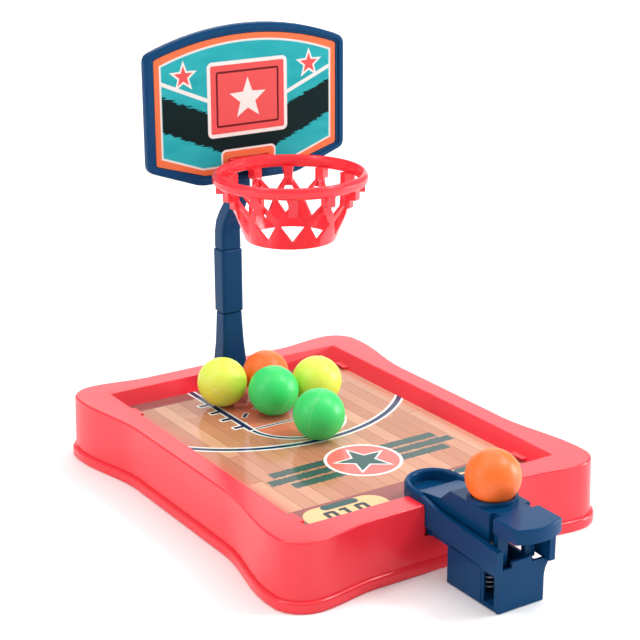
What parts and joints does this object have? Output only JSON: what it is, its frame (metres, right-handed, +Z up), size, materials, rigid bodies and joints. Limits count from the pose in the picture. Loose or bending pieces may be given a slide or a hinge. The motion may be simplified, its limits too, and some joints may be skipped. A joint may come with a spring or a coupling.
{
  "type": "tabletop basketball game",
  "caption": "Desktop basketball shooting toy: walled tray with court card, hoop and net on a jointed pole, and a sprung finger lever that throws small balls.",
  "frame": {"origin": "centre of the game's footprint, on the surface it stands on", "axes": "+Z up, +Y along the court from the player to the hoop, +X to the player's right"},
  "size_m": [0.1732, 0.273, 0.2151],
  "materials": {
    "coral_plastic": "satin-gloss injection-moulded coral red",
    "navy_plastic": "satin injection-moulded navy blue",
    "court_print": "printed and laminated card, plank pattern with court lines",
    "board_print": "printed and laminated card, teal with an orange border",
    "spring_steel": "bright drawn wire",
    "yellow_ball": "satin blow-moulded yellow-green",
    "green_ball": "satin blow-moulded green",
    "orange_ball": "satin blow-moulded orange"
  },
  "bodies": {
    "game": {"tray_base": "coral_plastic", "court_card": "court_print", "lower_post": "navy_plastic", "middle_sleeve": "navy_plastic", "upper_arm": "navy_plastic", "backboard_frame": "navy_plastic", "backboard_panel": "board_print", "hoop_net": "coral_plastic", "launcher_channel": "navy_plastic", "spring_box": "navy_plastic", "lever_pin": "spring_steel", "launch_spring": "spring_steel"},
    "lever": {"launcher_lever": "navy_plastic"},
    "cup_ball": {"ball_orange_launcher": "orange_ball"},
    "left_yellow_ball": {"ball_yellow_left": "yellow_ball"},
    "right_yellow_ball": {"ball_yellow_right": "yellow_ball"},
    "back_green_ball": {"ball_green_back": "green_ball"},
    "front_green_ball": {"ball_green_front": "green_ball"},
    "court_orange_ball": {"ball_orange_court": "orange_ball"}
  },
  "joints": [
    {"name": "lever_hinge", "type": "hinge", "parent": "game", "child": "lever", "pos_m": [0, -0.07585, 0.0275], "axis": [1, 0, 0], "range_deg": [0, 14], "stiffness_Nm_per_rad": 0.3, "springref_deg": -14.32, "deforming": ["launch_spring"]},
    {"name": "cup_ball_lift", "type": "slide", "parent": "lever", "child": "cup_ball", "axis": [0, 0, 1], "range_m": [0, 0.1]},
    {"name": "left_yellow_lift", "type": "slide", "parent": "game", "child": "left_yellow_ball", "axis": [0, 0, 1], "range_m": [0, 0.04]},
    {"name": "right_yellow_lift", "type": "slide", "parent": "game", "child": "right_yellow_ball", "axis": [0, 0, 1], "range_m": [0, 0.04]},
    {"name": "back_green_lift", "type": "slide", "parent": "game", "child": "back_green_ball", "axis": [0, 0, 1], "range_m": [0, 0.04]},
    {"name": "front_green_lift", "type": "slide", "parent": "game", "child": "front_green_ball", "axis": [0, 0, 1], "range_m": [0, 0.04]},
    {"name": "court_orange_lift", "type": "slide", "parent": "game", "child": "court_orange_ball", "axis": [0, 0, 1], "range_m": [0, 0.04]}
  ]
}
